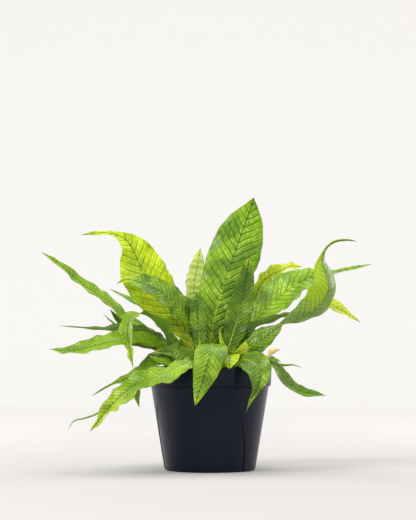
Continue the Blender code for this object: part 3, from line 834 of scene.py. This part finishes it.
def blade_finish(name, shade, light, tip, vein, vein_strength, rough, glow, lift=1.0, far_half=None):
    """Living leaf skin: cells over darker veins, a midrib, a tip that yellows, painted whitish highlights on
    the raised cell tops, and light let through.
    """
    material, tree, output = new_finish(name)
    shade, light, tip, vein = ((*tint, 1) for tint in (shade, light, tip, vein))
    where = tree.nodes.new("ShaderNodeTexCoord").outputs["Object"]
    measure = tree.nodes.new("ShaderNodeUVMap")
    measure.uv_map = "blade"
    share, across, edge, yellowing, lightness_here = (
        join_node(tree, "ShaderNodeAttribute", attribute_name=label).outputs["Fac"]
        for label in ("share", "across", "edge", "yellowing", "light"))
    pattern = tree.nodes.new("ShaderNodeGroup")
    pattern.node_tree = crocodile_scales
    tree.links.new(measure.outputs[0], pattern.inputs["Measure"])
    tree.links.new(where, pattern.inputs["Place"])
    tree.links.new(edge, pattern.inputs["Edge"])
    pattern.inputs["Unevenness"].default_value = 0.55
    grain = use_grain(tree, where, 1500.0, 42.0)
    mottle = remap(tree, grain.outputs["Patches"], 0.36, 0.64)
    tone = calc(tree, "MULTIPLY_ADD", pattern.outputs["Cell Tone"], 0.22, times(tree, mottle, 0.50))
    tone = calc(tree, "ADD", calc(tree, "SUBTRACT", tone, 0.36), lightness_here, clamp=True)
    tone = calc(tree, "MULTIPLY_ADD", pattern.outputs["Height"], 0.16, tone, clamp=True)
    colour = blend_colours(tree, tone, shade, light)
    # Painted highlight: a pale whitish green laid on the tops of the raised cells, fading towards the margin,
    # stronger on the glossier skins.
    highlight_spread = remap(tree, pattern.outputs["Cell Tone"], 0.25, 0.9)
    highlight_inward = remap(tree, calc(tree, "MULTIPLY_ADD", edge, -0.5, mottle), 0.25, 0.75)
    painted_cell_highlight = times(tree, remap(tree, pattern.outputs["Height"], 0.45, 1.0), times(tree, highlight_spread, highlight_inward))
    colour = blend_colours(tree, times(tree, painted_cell_highlight, 0.34 if rough < 0.3 else 0.15), colour,
                           (0.72, 0.86, 0.42, 1))
    if far_half is not None:
        half_mask = times(tree, remap(tree, across, -0.002, 0.004), remap(tree, share, 0.45, 0.60))
        colour = blend_colours(tree, half_mask, colour, (*far_half, 1))
    turning = calc(tree, "MULTIPLY_ADD", calc(tree, "SUBTRACT", mottle, 0.5), 0.35, yellowing)
    turning = calc(tree, "MULTIPLY_ADD", calc(tree, "POWER", edge, 3.0), calc(
        tree, "MULTIPLY", yellowing, 0.6), turning)
    colour = blend_colours(tree, remap(tree, turning, 0.15, 1.0), colour, tip)
    colour = blend_colours(tree, times(tree, pattern.outputs["Veins"], vein_strength), colour, vein)
    line = remap(tree, calc(tree, "ABSOLUTE", across), 0.0010, 0.0004)
    near_foot = remap(tree, share, 0.70, 0.25)
    colour = blend_colours(tree, times(tree, line, 0.75), colour, blend_colours(
        tree, near_foot, vein, tip))
    height = calc(tree, "MULTIPLY_ADD", grain.outputs["Height"], 0.08, pattern.outputs["Height"])
    normal = bump(tree, height, 0.9, 0.0011 * lift)
    roughness = calc(tree, "MULTIPLY_ADD", pattern.outputs["Veins"], 0.20, rough)
    shader = join_node(tree, "ShaderNodeBsdfPrincipled", {
        "Base Color": colour, "Roughness": roughness, "Normal": normal, "IOR": 1.5,
        "Specular IOR Level": 0.28, "Coat Weight": 0.25, "Coat Roughness": 0.14})
    through = join_node(tree, "ShaderNodeBsdfTranslucent", {"Color": colour, "Normal": normal})
    mixed = join_node(tree, "ShaderNodeMixShader", {0: glow, 1: shader.outputs[0], 2: through.outputs[0]})
    tree.links.new(mixed.outputs[0], output.inputs[0])
    return material


deep_vein = (0.014, 0.062, 0.001)
fresh_tip = (0.620, 0.740, 0.020)
upper_finishes = {
    "frond_deep": blade_finish("deep blade", (0.048, 0.145, 0.002), (0.330, 0.550, 0.005),
                               (0.560, 0.720, 0.014), deep_vein, 0.58, 0.26, 0.38),
    "frond_fresh": blade_finish("fresh blade", (0.060, 0.190, 0.001), (0.400, 0.640, 0.003),
                                fresh_tip, (0.014, 0.070, 0.001), 0.76, 0.24, 0.38),
    "frond_yellow": blade_finish("yellow blade", (0.220, 0.400, 0.002), (0.720, 0.830, 0.030),
                                 (0.800, 0.860, 0.080), (0.070, 0.200, 0.002), 0.58, 0.32, 0.45),
    "frond_pale": blade_finish("pale blade", (0.080, 0.210, 0.006), (0.330, 0.530, 0.030),
                               (0.500, 0.640, 0.050), (0.024, 0.095, 0.003), 0.70, 0.34, 0.36),
    "frond_dry": blade_finish("dry blade", (0.420, 0.290, 0.090), (0.760, 0.640, 0.300),
                              (0.620, 0.520, 0.200), (0.260, 0.150, 0.045), 0.45, 0.70, 0.25),
}
lower_finishes = {
    "frond_deep": blade_finish("deep underside", (0.090, 0.240, 0.014), (0.290, 0.500, 0.045),
                               (0.480, 0.620, 0.045), (0.040, 0.130, 0.008), 0.50, 0.46, 0.36, 0.8),
    "frond_fresh": blade_finish("fresh underside", (0.130, 0.300, 0.012), (0.380, 0.580, 0.035),
                                (0.580, 0.700, 0.060), (0.055, 0.170, 0.008), 0.62, 0.46, 0.38, 0.8),
    "frond_yellow": blade_finish("yellow underside", (0.250, 0.430, 0.006), (0.680, 0.800, 0.050),
                                 (0.740, 0.830, 0.090), (0.080, 0.220, 0.004), 0.72, 0.36, 0.44, 1.0),
    "frond_pale": blade_finish("pale underside", (0.160, 0.320, 0.030), (0.360, 0.530, 0.090),
                               (0.500, 0.640, 0.090), (0.050, 0.140, 0.012), 0.75, 0.46, 0.36, 0.8),
    "frond_dry": upper_finishes["frond_dry"],
}
young_skin = blade_finish("young skin", (0.420, 0.600, 0.060), (0.760, 0.850, 0.300),
                          (0.780, 0.860, 0.340), (0.330, 0.500, 0.040), 0.55, 0.34, 0.45)
folded_back = blade_finish("folded underside", (0.160, 0.310, 0.035), (0.330, 0.490, 0.100),
                           (0.440, 0.620, 0.030), (0.045, 0.130, 0.010), 0.80, 0.42, 0.36, 1.0,
                           (0.480, 0.680, 0.010))

# How a blade is ruffled, torn, bent and pleated: lengths and heights in metres, the ragged margin as a share
# of its width. The usual blade comes first, then those that differ.
blade_measures = ("Ruffle Height", "Ruffle Length", "Ragged Margin", "Sway", "Pleat Height", "Pleat Length")
usual_blade = (0.0026, 0.027, 0.46, 0.005, 0.0, 0.01)
special_blades = {
    "tall_frond": (0.0022, 0.036, 0.16, 0.003, 0.0, 0.01),
    "left_broad_frond": (0.0032, 0.036, 0.22, 0.003, 0.0, 0.01),
    "pleated_young_frond": (0.0020, 0.020, 0.50, 0.002, 0.0009, 0.0085),
    "crumpled_right_frond": (0.0050, 0.020, 0.70, 0.004, 0.0, 0.01),
    "curled_young_frond": (0.0014, 0.016, 0.30, 0.0, 0.0, 0.01),
    "right_folded_frond": (0.0020, 0.036, 0.24, 0.003, 0.0, 0.01),
    "front_drooping_frond": (0.0016, 0.030, 0.24, 0.002, 0.0, 0.01),
    "front_left_frond": (0.0032, 0.026, 0.85, 0.004, 0.0, 0.01),
}

for node, slot in slot_of.items():
    if not slot.startswith("frond_") or node == "rolled_dry_frond":
        continue
    sections = plain_sections(node)
    widest = np.linalg.norm(sections[:, 1] - sections[:, 0], axis=1).max()
    pitch = float(np.clip(0.17 * widest, narrowest_pitch, widest_pitch))
    start_yellow = yellow_from.get(node, usual_yellowing)
    light = lightness.get(node, usual_lightness)
    blade = place(node + "_blade", blade_mesh(node + "_blade", sections, pitch, start_yellow, light))
    relief = blade.modifiers.new("relief", "NODES")
    relief.node_group = frond_relief
    upper_finish, lower_finish = upper_finishes[slot], lower_finishes[slot]
    if node == "pleated_young_frond":
        upper_finish = lower_finish = young_skin
    elif node == "right_folded_frond":
        lower_finish = folded_back
    values = dict(zip(blade_measures, special_blades.get(node, usual_blade)))
    values["Ruffle Height"] *= min(1.0, widest / full_ruffle_width)
    set_inputs(relief, {
        **values, "Vein Spacing": pitch, "Cell Height": 0.045 * pitch,
        "Turn": zlib.crc32(node.encode()) % 97 * 0.31,
        "Upper Finish": upper_finish, "Lower Finish": lower_finish})
    bpy.context.view_layer.update()
    settle(blade)
    trimmed = np.empty(3 * len(blade.data.vertices), dtype=np.float32)
    blade.data.vertices.foreach_get("co", trimmed)
    trimmed = np.clip(trimmed.reshape(-1, 3), cad_box[0], cad_box[1])
    blade.data.vertices.foreach_set("co", trimmed.ravel())
    blade.data.shade_smooth()
    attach(blade, "root")
    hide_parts(node)

# Rolled dry frond. A dead frond that has dried into a tan tube: its papery blade is wound once and a bit
# round itself, widest at the open, browned end, on a thin brown stalk.


def rolled_leaf(name, sections):
    """A papery sheet wound into a tube that opens along the sections, closed all round its edges."""
    rows = 70
    stops = np.linspace(0, len(sections) - 1.02, rows + 1)
    left, right, upper, lower = (smooth_through(sections[:, k], stops) for k in range(4))
    middle = (upper + lower) / 2
    half = np.linalg.norm(right - left, axis=1) / 2
    side = unit(right - left)
    up = unit(np.cross(side, unit(np.gradient(middle, axis=0))))
    windings, start_angle, spans = 1.35, 0.15, 30
    winding = np.linspace(start_angle, start_angle + 2 * math.pi * windings, spans)
    growth = np.linspace(0.72, 1.0, spans)
    thickness = np.minimum(0.00018, 0.2 * half)[:, None]
    rings = []
    for sign in (1, -1):
        angles, sizes = (winding, growth) if sign > 0 else (winding[::-1], growth[::-1])
        wrinkle = 1 + 0.05 * np.sin(np.arange(rows + 1)[:, None] * 0.9 + 3 * angles[None, :])
        radius = half[:, None] * sizes[None, :] * wrinkle + sign * thickness
        flare = radius * 0.94
        rings.append(middle[:, None] + side[:, None] * (flare * np.cos(angles))[:, :, None]
                     + up[:, None] * (flare * np.sin(angles))[:, :, None])
    points = np.concatenate(rings, axis=1)
    count = points.shape[1]
    grid = np.arange((rows + 1) * count).reshape(rows + 1, count)
    nxt = np.roll(grid, -1, axis=1)
    faces = np.stack([grid[:-1], nxt[:-1], nxt[1:], grid[1:]], axis=-1).reshape(-1, 4).tolist()
    for row, flip in ((0, True), (rows, False)):
        for k in range(count // 2 - 1):
            quad = [grid[row, k], grid[row, k + 1], grid[row, count - 2 - k], grid[row, count - 1 - k]]
            faces.append([int(v) for v in (quad if flip else quad[::-1])])
    mesh = bpy.data.meshes.new(name)
    mesh.from_pydata(points.reshape(-1, 3).tolist(), [], faces)
    share = mesh.attributes.new("share", "FLOAT", "POINT")
    share.data.foreach_set("value", np.repeat(np.linspace(0, 1, rows + 1), count).astype(np.float32))
    bm = bmesh.new()
    bm.from_mesh(mesh)
    bmesh.ops.recalc_face_normals(bm, faces=bm.faces)
    bm.to_mesh(mesh)
    bm.free()
    return mesh


def papery_finish():
    """Dried leaf: tan with pale green streaks, brown towards the stalk and round the open end."""
    material, tree, output = new_finish("papery tan")
    where = tree.nodes.new("ShaderNodeTexCoord").outputs["Object"]
    grain = use_grain(tree, where, 1300.0, 150.0)
    share = join_node(tree, "ShaderNodeAttribute", attribute_name="share").outputs["Fac"]
    streak = remap(tree, grain.outputs["Patches"], 0.36, 0.64)
    colour = blend_colours(tree, streak, (0.50, 0.50, 0.16, 1), (0.74, 0.62, 0.30, 1))
    colour = blend_colours(tree, remap(tree, share, 0.45, 0.15), colour, (0.30, 0.20, 0.07, 1))
    colour = blend_colours(tree, remap(tree, share, 0.955, 0.99), colour, (0.16, 0.09, 0.03, 1))
    normal = bump(tree, grain.outputs["Height"], 0.6, 0.0005)
    shader = join_node(tree, "ShaderNodeBsdfPrincipled", {
        "Base Color": colour, "Roughness": 0.68, "Normal": normal})
    tree.links.new(shader.outputs[0], output.inputs[0])
    return material


rolled = place("rolled_dry_blade", rolled_leaf("rolled_dry_blade", plain_sections("rolled_dry_frond")))
rolled.data.materials.append(papery_finish())
rolled.data.shade_smooth()
rolled.data.set_sharp_from_angle(angle=math.radians(50))
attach(rolled, "root")
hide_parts("rolled_dry_frond")

# Room. A pale seamless sweep under and behind the plant, lit by broad soft lights, and the camera.

plant_height = cad_box[1][2]


def soft_light(name, place_at, aim, size, power):
    """A square soft light that faces its aim."""
    lamp = bpy.data.lights.new(name, "AREA")
    lamp.size = size
    lamp.energy = power
    holder = bpy.data.objects.new(name, lamp)
    holder.location = place_at
    direction = np.array(aim) - np.array(place_at)
    holder.rotation_euler = Vector(direction).to_track_quat("-Z", "Y").to_euler()
    bpy.context.scene.collection.objects.link(holder)


def sweep():
    """Floor that curves up into a back wall far behind the plant."""
    reach, bend_start, bend, wall_top = 9.0, 3.4, 1.6, 5.0
    bm = bmesh.new()
    outline = [(-reach, 0.0), (bend_start, 0.0)]
    outline += [(bend_start + bend * math.sin(a), bend - bend * math.cos(a))
                for a in np.linspace(0.1, math.pi / 2, 12)]
    outline += [(bend_start + bend, wall_top)]
    rows = [[bm.verts.new((x, y, z)) for x in (-reach, reach)] for y, z in outline]
    for low, high in zip(rows, rows[1:]):
        bm.faces.new((low[0], low[1], high[1], high[0]))
    mesh = bpy.data.meshes.new("sweep")
    bm.to_mesh(mesh)
    bm.free()
    return place("sweep", mesh)


floor = sweep()
floor.location.z = cad_box[0][2]
floor.data.shade_smooth()
paper, paper_tree, paper_out = new_finish("studio paper")
paper_reach = join_node(paper_tree, "ShaderNodeVectorMath", {
    0: paper_tree.nodes.new("ShaderNodeTexCoord").outputs["Object"]}, operation="LENGTH")
# Painted shade: the paper is darker near the plant, where the lamps fall brightest, and pales outwards so the
# sweep looks evenly lit.
paper_painted_shade = blend_colours(paper_tree, remap(paper_tree, paper_reach.outputs["Value"], 0.3, 3.4),
                             (0.37, 0.358, 0.350, 1), (0.86, 0.85, 0.84, 1))
paper_shader = join_node(paper_tree, "ShaderNodeBsdfPrincipled", {
    "Base Color": paper_painted_shade, "Roughness": 0.9, "Specular IOR Level": 0.1})
paper_tree.links.new(paper_shader.outputs[0], paper_out.inputs[0])
floor.data.materials.append(paper)

aim = (0.0, 0.0, plant_height * 0.5)
soft_light("key", (-1.2, -1.1, 1.7), aim, 0.9, 37)
soft_light("fill", (1.6, -1.2, 0.9), aim, 1.2, 10)
soft_light("top", (0.2, 0.5, 1.8), aim, 1.2, 22)
soft_light("rim left", (-1.4, 0.8, 0.5), aim, 0.6, 14)
soft_light("rim right", (1.4, 0.9, 0.6), aim, 0.7, 12)

world = bpy.data.worlds.new("studio")
world.use_nodes = True
world.node_tree.nodes["Background"].inputs[0].default_value = (1.0, 0.995, 0.985, 1)
world.node_tree.nodes["Background"].inputs[1].default_value = 1.05
bpy.context.scene.world = world
bpy.context.scene.view_settings.view_transform = "Standard"

camera_distance = 2.3
camera_height = 0.155
aim_height = 0.2625
aim_across = -0.0024
framed_height = 0.653
camera = bpy.data.objects.new("camera", bpy.data.cameras.new("camera"))
bpy.context.scene.collection.objects.link(camera)
camera.location = (aim_across, -camera_distance, camera_height)
reach = math.hypot(camera_distance, aim_height - camera_height)
camera.rotation_euler = (math.pi / 2 + math.atan2(aim_height - camera_height, camera_distance), 0.0, 0.0)
camera.data.sensor_fit = "VERTICAL"
camera.data.sensor_height = 36
camera.data.lens = 36 * reach / framed_height
camera.data.clip_end = 20
bpy.context.scene.camera = camera
